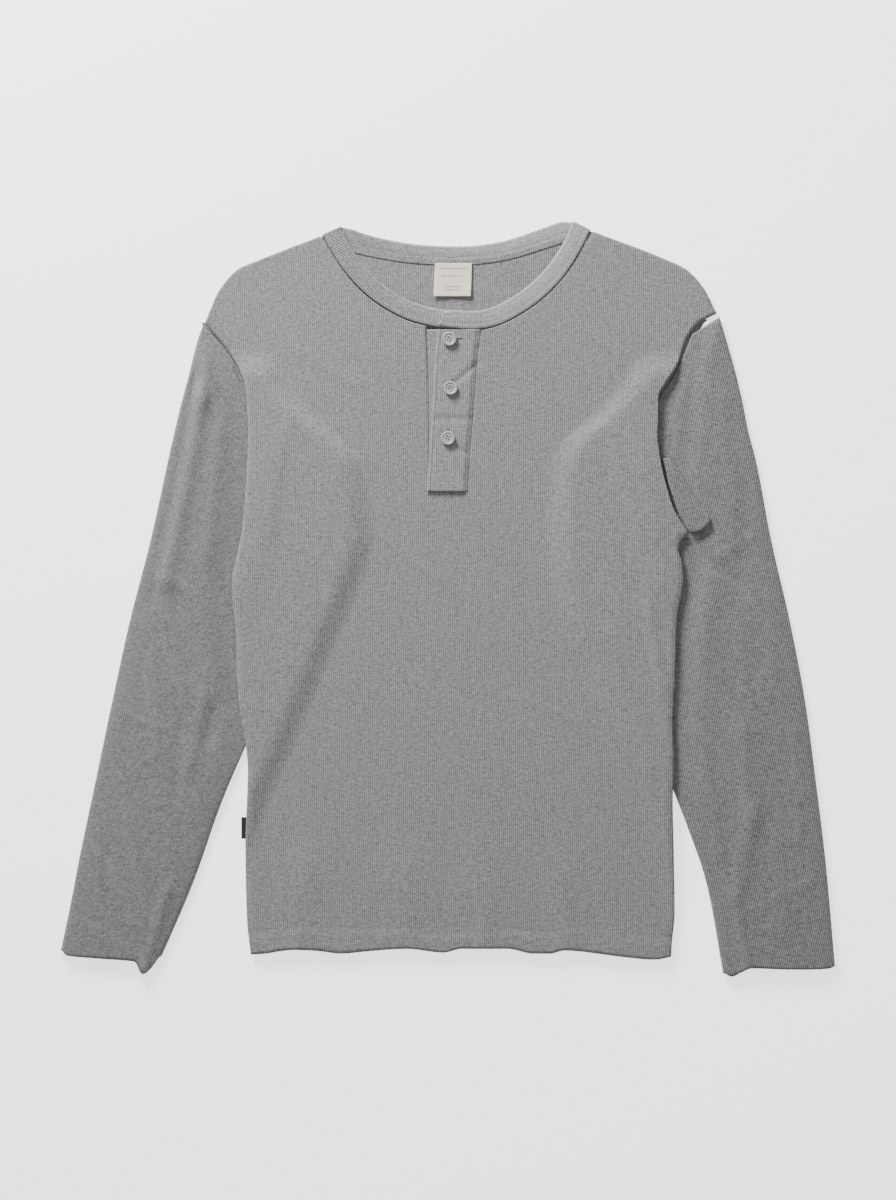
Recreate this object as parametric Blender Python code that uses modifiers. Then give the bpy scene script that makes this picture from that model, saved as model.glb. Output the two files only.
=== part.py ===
"""Long-sleeved rib-knit henley shirt, laid flat on its back with the front up.

Units: every size and table below is in millimetres and is turned to metres when a mesh is made.
+Z is up, +Y points to the neck and +X to the wearer's left. The shirt rests on Z = 0.
Each layer of cloth is an open sheet, a height over the table at every x and y, thickened to a wall.
The body's two layers lie over the inner edge of each sleeve, so they rise there by the sleeve's height.
"""
import math

import bmesh
import bpy
import numpy as np

MM = 0.001

# Middle of the laid shirt's box in plan, which becomes the origin
PLAN_CENTRE = (0.15, 1.75)

# Driving sizes, in millimetres
CLOTH = 1.3              # wall of one layer of rib knit
SEAM_GAP = 0.3           # clearance between pieces that are sewn or lie together
AIR = 1.9                # loft left between the front and the back
BAND_WALL = 2.0          # folded neckband
STRIP_WALL = 2.0         # folded, stitched placket strip
LABEL_WALL = 1.0
SLEEVE_AIR = 1.2         # inside a sleeve where the body lies on it
SLEEVE_LOFT = 2.6        # what a sleeve's upper layer rises by where it lies free
BUTTON_RADIUS = 6.4
BUTTON_HEIGHT = 2.6
HOLE_RADIUS = 0.7
HOLE_PITCH = 2.3         # between neighbouring holes of a button
MERGE = 0.00001          # metres, for points that meet exactly
JOIN_SHARE = 0.8         # wall of a strip that is joined into a thicker wall

BACK_LEVEL = CLOTH / 2
FRONT_STEP = CLOTH + AIR
SLEEVE_TOP = BACK_LEVEL + CLOTH + SLEEVE_AIR
OVER_SLEEVE = SLEEVE_TOP + CLOTH / 2 + 3 * SEAM_GAP
RAMP = 28.0              # length over which the body comes down beside a tucked sleeve
RAMP_START = 19.0        # from the sleeve's edge to the start of that slope
ARMHOLE_Y = 230.0        # where the armhole seams go under the body's folded sides

# Visible side edges of the body, from hem to armhole: y, x
EDGE_RIGHT_ARM = [
    (-326, -181), (-295, -184.5), (-230, -186), (-155, -183.5), (-132, -185.5), (-99, -191), (-67, -193.5),
    (-21, -195), (7, -198), (21, -197.5), (40, -193.5), (62, -189), (100, -185.5), (134, -183.5), (153, -183),
    (190, -185), (215, -193), (234, -206.5), (247, -217.5), (255, -223),
]
EDGE_LEFT_ARM = [
    (-328, 205), (-313, 206), (-286, 208.5), (-230, 207.5), (-184, 206.5), (-147, 207.5), (-110, 206.5),
    (-62, 209), (-16, 210.5), (5, 214.5), (20, 217), (34, 216.5), (46, 213), (55, 215), (62, 221), (68, 217.5),
    (81, 210), (105, 202), (128, 196.5), (154, 193.5), (187, 193.5), (196, 198), (215, 210), (243, 221),
    (255, 231.5), (263, 247),
]
# How far in from that edge the back ends, from hem to armhole: y, inset
BACK_INSET = [(-328, 4), (20, 4), (50, 11), (130, 10), (150, 5), (263, 4)]
# The same for the front, on each side
FRONT_INSET_LEFT_ARM = [(-328, 0), (0, 0.4), (40, 1.5), (130, 1.5), (200, 0)]
FRONT_INSET_RIGHT_ARM = [(-328, 0), (263, 0)]
HEM_RISE = 2.0           # how far the back's hem lies above the front's
# Wavy hem: x, y
HEM = [
    (-181, -326), (-168, -325), (-142, -321.5), (-120, -322.5), (-98, -325), (-75, -323), (-38, -320.5),
    (-4, -324), (13, -320.5), (54, -320.5), (79, -325), (94, -325), (107, -322), (130, -324), (160, -328),
    (190, -330.5), (205, -328),
]
# Shoulders, from the armhole to the neck: x, y
SHOULDER_RIGHT_ARM = [(-223, 255), (-218.5, 266), (-210, 284.5), (-194, 303), (-173, 312.5), (-116.5, 334.5)]
SHOULDER_LEFT_ARM = [(247, 263), (245, 267), (236, 285), (220, 303), (201, 312.5), (132, 339)]
# Seam of the neckband, from the wearer's right neck point to the left one: x, y
NECK_FRONT = [
    (-116.5, 334.5), (-94.5, 300.5), (-74, 279), (-54.5, 265.5), (-34.5, 256), (-8, 250), (21.5, 248),
    (43, 251), (63, 260), (86, 275.5), (104.5, 294), (118, 313), (132, 339),
]
NECK_BACK = [(-116.5, 334.5), (-90, 322.5), (-62, 316), (-25, 311), (8, 310), (48, 313.5), (94, 326.5), (132, 339)]

# Placket, from its stitched end up to the neckband: y, free edge x, sewn edge x
PLACKET = [(99.8, -19, 18), (134, -17, 19.8), (177, -14.3, 23.5), (217, -12, 26.3), (248, -9.5, 30)]
# Under strip that shows beside it: y, x of its sewn edge
PLACKET_UNDER_EDGE = [(104.5, -18.2), (134, -18.4), (177, -18.8), (217, -19.3), (249, -20)]
BUTTONS = [(1.5, 239.5), (2.5, 194.5), (0, 148.5)]

# Sleeves, from armhole to cuff: y of the outer edge, its x, then x and y of the inner edge
SLEEVE_RIGHT_ARM = [
    (252, -225, -208.5, 234.5), (238, -230, -198.5, 219), (208, -237.5, -190, 197), (180, -245, -172, 176), (155, -251, -142, 150),
    (128, -257, -120, 125), (55, -273, -112, 62), (-19, -292, -131, 0), (-92, -308, -156, -60),
    (-166, -323.5, -185, -131), (-240, -339, -212, -196), (-277, -346, -233, -256), (-321, -355, -262, -323),
]
SLEEVE_LEFT_ARM = [
    (260, 249.5, 224.5, 244), (240, 255.5, 216, 223), (206, 265, 200, 194), (180, 271, 180, 172), (155, 276, 152, 148),
    (128, 283, 140, 125), (55, 297, 135, 60), (-19, 314, 144, -12), (-92, 328, 165, -66),
    (-166, 338, 196, -146), (-240, 347, 220, -207), (-277, 350.5, 237, -256), (-336, 355.5, 251, -330),
]
# Cuff edges: share of the width from the outer edge, how far the edge runs past a straight line
CUFF_RIGHT_ARM = [(0, 0), (0.08, 6), (0.4, 8), (0.75, 10), (0.88, 22), (0.94, 16), (1, 0)]
CUFF_LEFT_ARM = [(0, 0), (0.05, 3), (0.4, 6), (0.75, 7), (0.85, 12), (0.94, 16), (1, 12)]
CUFF_REACH = 70.0
# Long soft folds: x and y of both ends, half width, height (a valley is negative)
FOLDS_RIGHT_ARM = [
    (-217, 246, -226, 184, 6, 1.6), (-226, 184, -259, 20, 8, 2.6), (-236, 196, -271, 10, 8, -1.8),
    (-196, -40, -211, -85, 7, 1.6), (-211, -84, -217, -120, 7, -1.8), (-258, -268, -278, -336, 5, 1.5),
]
FOLDS_LEFT_ARM = [
    (228, 236, 219, 130, 9, -1.8), (270, -126, 279, -198, 8, 1.8), (279, -198, 267, -262, 8, 1.6),
    (209, -104, 226, -124, 7, 1.4), (265, -276, 276, -342, 5, 1.5),
]
FOLDS_FRONT = [
    (-142, -330, -134, -255, 16, 1.4), (-38, -330, -42, -262, 18, 1.2), (34, -330, 30, -270, 18, 1.2),
    (107, -330, 104, -258, 12, 1.2), (178, 120, 196, 20, 14, 1.2), (-168, 120, -182, 20, 14, 1.2),
]
# Underarm of the left sleeve, folded up over the sleeve: y, x of its seam, x of its outer edge
UNDERARM_FLAP = [(130, 197.5, 203), (120, 200, 210.5), (105, 203, 219.5), (93, 207.5, 227), (81, 211.5, 235.5),
                 (73, 216, 240.5), (67, 219, 236), (62.5, 222.5, 229)]
FLAP_RISE = 0.8          # what the flap's upper layer stands above the front
FLAP_JOIN = 0.25         # height over the sleeve's upper layer at which the flap's lower end joins it

SIDE_TAG = {"x": -186.2, "y": -209.5, "width": 7.0, "length": 20.0, "wall": 1.2, "lift": 1.6}
NECK_LABEL = {"x": 4.8, "y": 294.3, "width": 34.5, "length": 30.0}

# Faces across and along each sheet
BODY_FACES = (24, 24)
SLEEVE_ACROSS = 7
SLEEVE_ALONG = 20
BAND_FACES = (3, 46)
STRIP_FACES = (5, 9)
FLAP_FACES = (10, 9)


def read(table, at):
    """The other columns of a table where its first column reads `at`.

    A cubic between rows, with slopes held to the smaller of the two sides, so that it never overshoots a row.
    """
    rows = np.array(table, float)
    if rows[0, 0] > rows[-1, 0]:
        rows = rows[::-1]
    key = rows[:, 0]
    value = rows[:, 1:]
    secant = np.diff(value, axis=0) / np.diff(key)[:, None]
    before = np.vstack([secant[:1], secant])
    after = np.vstack([secant, secant[-1:]])
    steepest = 2 * np.minimum(np.abs(before), np.abs(after))
    slope = np.clip((before + after) / 2, -steepest, steepest) * (before * after > 0)
    at = np.clip(at, key[0], key[-1])
    row = np.clip(np.searchsorted(key, at, side="right") - 1, 0, len(key) - 2)
    step = (key[row + 1] - key[row])[..., None]
    t = (at - key[row])[..., None] / step
    start = value[row] * (1 + 2 * t) * (1 - t) ** 2 + slope[row] * step * t * (1 - t) ** 2
    end = value[row + 1] * (3 - 2 * t) * t ** 2 - slope[row + 1] * step * t ** 2 * (1 - t)
    return start + end


def along(points, t):
    """Points at shares t of the length of a smooth curve through the given points."""
    rows = np.array(points, float)
    chord = np.concatenate([[0], np.cumsum(np.linalg.norm(np.diff(rows, axis=0), axis=1))])
    return read(np.column_stack([chord / chord[-1], rows]), t)


def ease(t):
    """0 below t = 0, 1 above t = 1, with a smooth step between."""
    t = np.clip(t, 0, 1)
    return t * t * (3 - 2 * t)


def folds(table, x, y):
    """Height of a set of long soft folds: a bell across each line, dying out past its ends."""
    height = np.zeros_like(x)
    for x1, y1, x2, y2, half_width, rise in table:
        length = math.hypot(x2 - x1, y2 - y1)
        run = ((x - x1) * (x2 - x1) + (y - y1) * (y2 - y1)) / length
        off = ((x - x1) * (y2 - y1) - (y - y1) * (x2 - x1)) / length
        past = np.maximum(np.maximum(-run, run - length), 0) / 2
        height = height + rise * np.exp(-(off ** 2 + past ** 2) / half_width ** 2)
    return height


def tucked_edge(sleeve, y):
    """x of a sleeve's inner edge at y."""
    inner = [(row[3], row[2]) for row in sleeve]
    return read(inner, y)[..., 0]


def sleeve_lift(x, y):
    """How far the sleeves underneath raise the body's back layer."""
    below_armhole = ease((ARMHOLE_Y - y) / RAMP)
    right_arm = ease(1 - (x - RAMP_START - tucked_edge(SLEEVE_RIGHT_ARM, y)) / RAMP) * (x < 0)
    left_arm = ease(1 - (tucked_edge(SLEEVE_LEFT_ARM, y) - RAMP_START - x) / RAMP) * (x > 0)
    return OVER_SLEEVE * below_armhole * (right_arm + left_arm)


def back_height(x, y):
    """Middle of the back's wall above the table."""
    return BACK_LEVEL + sleeve_lift(x, y)


def front_height(x, y):
    """Middle of the front's wall above the table: one step over the back, with its own soft folds."""
    return back_height(x, y) + FRONT_STEP + folds(FOLDS_FRONT, x, y)


def patch(u, v, bottom, top, left, right):
    """A sheet stretched between four edge curves, each a function of its own share.

    Ruled from bottom to top; each side's departure from its own chord then dies out towards the middle.
    """
    low, high, start, end = bottom(u), top(u), left(v), right(v)
    u = u[:, None]
    v = v[:, None]
    zero = np.zeros(1)
    one = np.ones(1)
    start_chord = (1 - v) * left(zero) + v * left(one)
    end_chord = (1 - v) * right(zero) + v * right(one)
    ruled = (1 - v) * low + v * high
    return ruled + (1 - u) ** SIDE_FADE * (start - start_chord) + u ** SIDE_FADE * (end - end_chord)


def body_outline(neck, right_arm_inset, left_arm_inset):
    """The four edge curves of a body panel: hem, shoulders with the neck seam, and both sides."""
    low_y = -326.0

    def side(table, sign, inset, v):
        top_y = table[-1][0]
        y = low_y + (top_y - low_y) * v
        x = read(table, y)[:, 0] + sign * read(inset, y)[:, 0]
        return np.column_stack([x, y])

    def left(v):
        return side(EDGE_RIGHT_ARM, 1, right_arm_inset, v)

    def right(v):
        return side(EDGE_LEFT_ARM, -1, left_arm_inset, v)

    def bottom(u):
        start = left(np.zeros(1))[0, 0]
        end = right(np.zeros(1))[0, 0]
        x = start + (end - start) * u
        hem_y = read(HEM, x)[:, 0]
        return np.column_stack([x, hem_y])

    def top(u):
        first = along(SHOULDER_RIGHT_ARM, u / NECK_SHARES[0])
        middle = along(neck, (u - NECK_SHARES[0]) / (NECK_SHARES[1] - NECK_SHARES[0]))
        last = along(SHOULDER_LEFT_ARM[::-1], (u - NECK_SHARES[1]) / (1 - NECK_SHARES[1]))
        x_ends = np.array([left(np.ones(1))[0, 0], right(np.ones(1))[0, 0]])
        pulled = np.array([x_ends[0] - SHOULDER_RIGHT_ARM[0][0], x_ends[1] - SHOULDER_LEFT_ARM[0][0]])
        first[:, 0] += pulled[0] * (1 - u / NECK_SHARES[0])
        last[:, 0] += pulled[1] * (u - NECK_SHARES[1]) / (1 - NECK_SHARES[1])
        point = np.where((u < NECK_SHARES[0])[:, None], first, middle)
        return np.where((u > NECK_SHARES[1])[:, None], last, point)

    return bottom, top, left, right


# How fast a side's shape dies out towards the middle of a panel
SIDE_FADE = 5
# Shares of a panel's upper boundary where the neck seam starts and ends
NECK_SHARES = (5 / 24, 19 / 24)
# Rows lie closer together towards the armholes: share of the rows, share of the height
ROW_SPREAD = [(0, 0), (0.4, 0.55), (1, 1)]


def spread_rows(v):
    """Row heights of a body panel for evenly counted rows."""
    return np.interp(v, [row[0] for row in ROW_SPREAD], [row[1] for row in ROW_SPREAD])


def front_sheet(u, v):
    """The front: butted to the neckband and the armhole seams."""
    rows = spread_rows(v)
    edges = body_outline(NECK_FRONT, FRONT_INSET_RIGHT_ARM, FRONT_INSET_LEFT_ARM)
    xy = patch(u, rows, *edges)
    at_neck = (v > 1 - 1e-6) & (u > NECK_SHARES[0]) & (u < NECK_SHARES[1])
    xy[at_neck, 1] -= SEAM_GAP
    return np.column_stack([xy, front_height(xy[:, 0], xy[:, 1])])


def back_sheet(u, v):
    """The back: a little inside the front's outline, up to the back neck seam."""
    rows = spread_rows(v)
    xy = patch(u, rows, *body_outline(NECK_BACK, BACK_INSET, BACK_INSET))
    xy[:, 1] += HEM_RISE * (1 - rows)
    at_neck = (v > 1 - 1e-6) & (u > NECK_SHARES[0]) & (u < NECK_SHARES[1])
    xy[at_neck, 1] -= SEAM_GAP
    return np.column_stack([xy, back_height(xy[:, 0], xy[:, 1])])


def turned_strip(seam, edge, end, upper, lower, u):
    """A strip folded under along its outer edge: u = 0 at the seam on top, 1 at its end underneath."""
    middle = (upper + lower) / 2
    half = (upper - lower) / 2
    turn = np.clip((u - 0.3) / 0.4, 0, 1) * math.pi
    inward = np.where(u < 0.5, seam, end)
    share = np.where(u < 0.5, 1 - u / 0.3, (u - 0.7) / 0.3)
    share = np.clip(share, 0, 1)
    x = (edge - half) + (inward - (edge - half)) * share + half * np.sin(turn)
    z = middle + half * np.cos(turn)
    return x, z


def flap_sheet(u, v):
    """Underarm of the left sleeve folded up: its lower end goes down into the sleeve's upper layer."""
    y = UNDERARM_FLAP[0][0] + (UNDERARM_FLAP[-1][0] - UNDERARM_FLAP[0][0]) * v
    seam, edge = read(UNDERARM_FLAP, y).T
    upper = front_height(seam, y) + FLAP_RISE * ease((edge - seam) / 14)
    lower = back_height(seam, y)
    x, z = turned_strip(seam, edge, seam - 3, upper, lower, u)
    sink = ease((u - 0.7) / 0.3)
    z = z + (SLEEVE_TOP + FLAP_JOIN - z) * sink
    return np.column_stack([x, y, z])


def sleeve_ring(sleeve, cuff, folds_table, outer_side, t, share, upper):
    """A point of a sleeve's upper or lower layer: t from armhole to cuff, share from inner to outer edge."""
    rows = np.array(sleeve, float)
    length = np.concatenate([[0], np.cumsum(np.abs(np.diff(rows[:, 0])))])
    line = read(np.column_stack([length / length[-1], rows]), t)
    outer = line[:, [1, 0]]
    inner = line[:, [2, 3]]
    xy = inner + (outer - inner) * share[:, None]
    down = (rows[-1][[1, 0]] + rows[-1][[2, 3]] - rows[-3][[1, 0]] - rows[-3][[2, 3]])
    down = down / np.linalg.norm(down)
    past = read(cuff, 1 - share)[:, 0] * ease(1 - (1 - t) * length[-1] / CUFF_REACH)
    xy = xy + past[:, None] * down
    body_edge = read(EDGE_RIGHT_ARM if outer_side < 0 else EDGE_LEFT_ARM, xy[:, 1])[:, 0]
    clear = ease((outer_side * (xy[:, 0] - body_edge) - 6) / 24)
    crown = np.sqrt(np.clip(4 * share * (1 - share), 0, 1))
    relief = SLEEVE_LOFT * crown + folds(folds_table, xy[:, 0], xy[:, 1]) * ease((1 - share) * 8)
    z = np.where(upper, SLEEVE_TOP + relief * clear, BACK_LEVEL)
    return xy, z


def sleeve_sheet(sleeve, cuff, folds_table, outer_side):
    """A sleeve as a flattened tube: the upper layer out, round the fold, the lower layer back in."""
    turn = 3.0

    def shape(u, v):
        half_turn = 0.1
        side = (u * 2) % 2
        upper = side < 1
        across = side % 1
        flat = np.clip((across - half_turn) / (1 - 2 * half_turn), 0, 1)
        fold = (np.clip(across / half_turn, 0, 1) - np.clip((1 - across) / half_turn, 0, 1))
        share = np.where(upper, flat, 1 - flat)
        at_start, z_start = sleeve_ring(sleeve, cuff, folds_table, outer_side, v, share * 0, upper)
        at_end, z_end = sleeve_ring(sleeve, cuff, folds_table, outer_side, v, share * 0 + 1, upper)
        width = np.linalg.norm(at_end - at_start, axis=1)
        inset = turn / width
        share = inset * 0.55 + share * (1 - 1.1 * inset)
        xy, z = sleeve_ring(sleeve, cuff, folds_table, outer_side, v, share, upper)
        axis = (at_end - at_start) / width[:, None]
        low = np.full_like(z, BACK_LEVEL)
        centre = (SLEEVE_TOP + BACK_LEVEL) / 2
        outward = np.where(upper, np.sign(fold), -np.sign(fold))
        angle = (1 - np.abs(fold)) * math.pi / 2
        in_fold = (across < half_turn) | (across > 1 - half_turn)
        radius = (np.where(upper, z, SLEEVE_TOP) - low) / 2
        swing = np.where(in_fold, np.cos(angle), 0) * outward * 1.5
        xy = xy + axis * swing[:, None]
        edge_z = np.where(upper, centre + radius * np.sin(angle), centre - (centre - low) * np.sin(angle))
        z = np.where(in_fold, edge_z, z)
        return np.column_stack([xy, z])

    return shape


def neckband_sheet(u, v):
    """The folded band, from its hidden end under the placket round the back to its end on top."""
    front_left = along(NECK_FRONT[:6] + [(6, 249)], np.clip(1 - v / BAND_CORNERS[0], 0, 1))
    back = along(NECK_BACK, np.clip((v - BAND_CORNERS[0]) / (BAND_CORNERS[1] - BAND_CORNERS[0]), 0, 1))
    front_right = along([(-9, 251.5), (2, 249.5)] + NECK_FRONT[6:],
                        np.clip(1 - (v - BAND_CORNERS[1]) / (1 - BAND_CORNERS[1]), 0, 1))
    on_back = (v > BAND_CORNERS[0]) & (v < BAND_CORNERS[1])
    seam = np.where((v <= BAND_CORNERS[0])[:, None], front_left, front_right)
    seam = np.where(on_back[:, None], back, seam)
    rim = seam + band_normal(v)
    xy = seam + (rim - seam) * (BAND_CLEAR + (1 - BAND_CLEAR) * u[:, None])
    to_corner = np.minimum(np.abs(v - BAND_CORNERS[0]), np.abs(v - BAND_CORNERS[1]))
    low = BAND_WALL / 2
    high = BACK_LEVEL + FRONT_STEP - CLOTH / 2 + BAND_WALL / 2
    z = np.where(on_back, low, high)
    z = np.where(to_corner < 1e-6, (low + high) / 2, z)
    overlap = ease((v - 1 + BAND_LAP) / (BAND_LAP * 0.6))
    z = z + (BAND_WALL + SEAM_GAP) * overlap
    return np.column_stack([xy, z])


# Shares of the band's length where it turns over at the wearer's right and left neck points
BAND_CORNERS = (12 / 46, 32 / 46)
BAND_LAP = 4 / 46
BAND_CLEAR = 0.06        # share of its width that the band stays off its seam line


def band_normal(v):
    """From seam to rim: across the band, upright at the back, out along the fold at the neck points."""
    table = [
        (0.0, 0.5, 17), (0.05, 3, 17), (0.1, 6.5, 16), (0.15, 10, 14.5), (0.2, 13.5, 11.5), (0.235, 16, 9),
        (0.26087, 18.5, 8.5), (0.29, 15, 13), (0.34, 7, 15.5), (0.48, 0, 15), (0.61, -5, 15.5),
        (0.665, -12, 14), (0.69565, -16.5, 8.5), (0.72, -15.5, 9), (0.76, -14, 11), (0.82, -11.5, 13.5),
        (0.87, -7.5, 16), (0.92, -3, 17.2), (0.97, 1, 17), (1.0, 6, 13),
    ]
    return read(table, v)


def strip_sheet(left_edge, right_edge, low_y, high_y, height):
    """A placket strip between two edges, at a height given over the front."""
    def shape(u, v):
        y = low_y + (high_y - low_y) * v
        left = left_edge(y)
        right = right_edge(y)
        x = left + (right - left) * u
        return np.column_stack([x, y, front_height(x, y) + height(u)])

    return shape


def move_grid(name, faces, shape, closed=False):
    """A mesh made of a grid of faces, moved by shape(u, v); closed joins its first and last columns."""
    mesh = bpy.data.meshes.new(name)
    grid = bmesh.new()
    bmesh.ops.create_grid(grid, x_segments=faces[0], y_segments=faces[1], size=1.0)
    corner = np.array([vertex.co[:] for vertex in grid.verts])
    u = (corner[:, 0] + 1) / 2
    v = (corner[:, 1] + 1) / 2
    u = np.round(u * faces[0]) / faces[0]
    v = np.round(v * faces[1]) / faces[1]
    place = shape(u, v) * MM
    for vertex, point in zip(grid.verts, place):
        vertex.co = point
    if closed:
        bmesh.ops.remove_doubles(grid, verts=grid.verts, dist=MERGE)
    grid.to_mesh(mesh)
    grid.free()
    return mesh


def add_object(name, mesh, material, group):
    """A mesh put in a collection as one named object."""
    piece = bpy.data.objects.new(name, mesh)
    group.objects.link(piece)
    if material is not None:
        mesh.materials.append(material)
    mesh.shade_smooth()
    return piece


def add_wall(piece, wall):
    """Solidify, half to each side of the sheet."""
    solid = piece.modifiers.new("Wall", "SOLIDIFY")
    solid.thickness = wall * MM
    solid.offset = 0
    return solid


def add_boolean(piece, other, operation):
    """Cut a piece by another object, or join that object to it."""
    step = piece.modifiers.new(operation.title(), "BOOLEAN")
    step.operation = operation
    step.solver = "EXACT"
    step.object = other
    other.hide_render = True
    other.display_type = "WIRE"
    return step


def cloth(name, faces, shape, wall, material, group, closed=False):
    """A piece of cloth: a moved grid with a wall."""
    piece = add_object(name, move_grid(name, faces, shape, closed), material, group)
    add_wall(piece, wall)
    return piece


def finish(name, hex_colour, roughness):
    """A plain Principled material."""
    material = bpy.data.materials.new(name)
    material.use_nodes = True
    shader = material.node_tree.nodes["Principled BSDF"]
    channels = [int(hex_colour[i:i + 2], 16) / 255 for i in (1, 3, 5)]
    linear = [((c + 0.055) / 1.055) ** 2.4 if c > 0.04045 else c / 12.92 for c in channels]
    shader.inputs["Base Color"].default_value = (*linear, 1)
    shader.inputs["Roughness"].default_value = roughness
    shader.inputs["Metallic"].default_value = 0
    return material


def slot_cutter(group):
    """Prism through the front that makes the placket's slot, as wide as both strips."""
    y = np.array([row[0] for row in PLACKET], float)
    low_y = PLACKET_UNDER_EDGE[0][0] - SEAM_GAP
    y[0] = low_y
    left = read(PLACKET_UNDER_EDGE, y)[:, 0] - SEAM_GAP
    right = read(PLACKET, y)[:, 1] + 5 * SEAM_GAP
    outline = np.column_stack([np.concatenate([left, right[::-1]]), np.concatenate([y, y[::-1]])])
    outline[outline[:, 1] > 240, 1] = 262
    mesh = bpy.data.meshes.new("placket_slot")
    prism = bmesh.new()
    ring = [prism.verts.new((x * MM, y * MM, -0.005)) for x, y in outline[::-1]]
    face = prism.faces.new(ring)
    raised = bmesh.ops.extrude_face_region(prism, geom=[face])
    top = [item for item in raised["geom"] if isinstance(item, bmesh.types.BMVert)]
    bmesh.ops.translate(prism, verts=top, vec=(0, 0, 0.025))
    bmesh.ops.recalc_face_normals(prism, faces=prism.faces)
    prism.to_mesh(mesh)
    prism.free()
    return add_object("placket_slot", mesh, None, group)


def build_body(knit, group, cutters):
    """Front and back panels."""
    cloth("back", BODY_FACES, back_sheet, CLOTH, knit, group)
    front = cloth("front", BODY_FACES, front_sheet, CLOTH, knit, group)
    add_boolean(front, slot_cutter(cutters), "DIFFERENCE")


def build_sleeves(knit, group, cutters):
    """Both sleeves; the wearer's left one has its underarm folded up."""
    faces = (2 * (SLEEVE_ACROSS + 2), SLEEVE_ALONG)
    right = sleeve_sheet(SLEEVE_RIGHT_ARM, CUFF_RIGHT_ARM, FOLDS_RIGHT_ARM, -1)
    left = sleeve_sheet(SLEEVE_LEFT_ARM, CUFF_LEFT_ARM, FOLDS_LEFT_ARM, 1)
    cloth("sleeve_right", faces, right, CLOTH, knit, group, closed=True)
    sleeve_left = cloth("sleeve_left", faces, left, CLOTH, knit, group, closed=True)
    flap = cloth("underarm_flap", FLAP_FACES, flap_sheet, CLOTH * JOIN_SHARE, knit, cutters)
    add_boolean(sleeve_left, flap, "UNION")


def build_placket(knit, group):
    """The under strip lies level with the front; the top strip lies over it and comes down to its seam."""
    high_y = 247.0
    over = CLOTH / 2 + SEAM_GAP + STRIP_WALL / 2
    sewn = (STRIP_WALL - CLOTH) / 2

    def under_left(y):
        return read(PLACKET_UNDER_EDGE, y)[:, 0]

    def under_right(y):
        return read(PLACKET, y)[:, 1] - 10

    def top_left(y):
        return read(PLACKET, y)[:, 0]

    def top_right(y):
        return read(PLACKET, y)[:, 1]

    under = strip_sheet(under_left, under_right, PLACKET_UNDER_EDGE[0][0], high_y, lambda u: 0 * u)
    top = strip_sheet(top_left, top_right, 105.0, high_y, lambda u: over + (sewn - over) * ease((u - 0.82) / 0.16))
    cloth("placket_under", STRIP_FACES, under, CLOTH, knit, group)
    cloth("placket_top", (7, STRIP_FACES[1]), top, STRIP_WALL, knit, group)
    return BACK_LEVEL + FRONT_STEP + over + STRIP_WALL / 2 + SEAM_GAP


def button_mesh():
    """A turned disc with a raised rim, a dished middle and a rounded back, about its own centre."""
    r = BUTTON_RADIUS
    h = BUTTON_HEIGHT
    profile = [(0, h * 0.62), (r * 0.5, h * 0.62), (r * 0.6, h * 0.74), (r * 0.76, h * 0.98),
               (r * 0.9, h), (r, h * 0.72), (r * 0.97, h * 0.3), (r * 0.8, 0), (0, 0)]
    mesh = bpy.data.meshes.new("button_profile")
    mesh.from_pydata([(x * MM, 0, z * MM) for x, z in profile], [(i, i + 1) for i in range(len(profile) - 1)], [])
    return mesh


def build_buttons(horn, group, cutters, seat):
    """Three fastened four-hole buttons on the placket's top strip."""
    holes = []
    for side_x in (-1, 1):
        for side_y in (-1, 1):
            bpy.ops.mesh.primitive_cylinder_add(vertices=8, radius=HOLE_RADIUS * MM, depth=0.01,
                                                location=(side_x * HOLE_PITCH / 2 * MM, side_y * HOLE_PITCH / 2 * MM, 0))
            hole = bpy.context.object
            hole.name = "button_hole"
            for owner in list(hole.users_collection):
                owner.objects.unlink(hole)
            cutters.objects.link(hole)
            holes.append(hole)
    for index, (x, y) in enumerate(BUTTONS):
        piece = add_object(f"button_{index + 1}", button_mesh(), horn, group)
        turned = piece.modifiers.new("Turned", "SCREW")
        turned.steps = 20
        turned.render_steps = 20
        turned.use_merge_vertices = True
        turned.merge_threshold = 0.0001
        piece.location = (x * MM, y * MM, seat * MM)
        for number, hole in enumerate(holes):
            own = bpy.data.objects.new(f"hole_{index + 1}_{number + 1}", hole.data)
            own.location = (piece.location.x + hole.location.x, piece.location.y + hole.location.y, piece.location.z)
            cutters.objects.link(own)
            add_boolean(piece, own, "DIFFERENCE")
    for hole in holes:
        bpy.data.objects.remove(hole)


def plate(name, centre, size, material, group):
    """A thin woven piece with eased corners."""
    bpy.ops.mesh.primitive_cube_add(size=1)
    piece = bpy.context.object
    piece.name = name
    for owner in list(piece.users_collection):
        owner.objects.unlink(piece)
    group.objects.link(piece)
    for vertex in piece.data.vertices:
        vertex.co = [vertex.co[i] * size[i] * MM for i in range(3)]
    piece.location = [value * MM for value in centre]
    piece.data.materials.append(material)
    rounded = piece.modifiers.new("Eased", "BEVEL")
    rounded.width = min(size) * 0.25 * MM
    rounded.segments = 1
    return piece


def build_labels(woven, dark, group):
    """The neck label on the back panel and the tab in the side seam."""
    seat = CLOTH + SEAM_GAP
    label = NECK_LABEL
    plate("neck_label", (label["x"], label["y"], seat + LABEL_WALL / 2), (label["width"], label["length"], LABEL_WALL),
          woven, group)
    tag = SIDE_TAG
    plate("side_tag", (tag["x"], tag["y"], tag["lift"] + tag["wall"] / 2), (tag["width"], tag["length"], tag["wall"]),
          dark, group)


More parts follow.
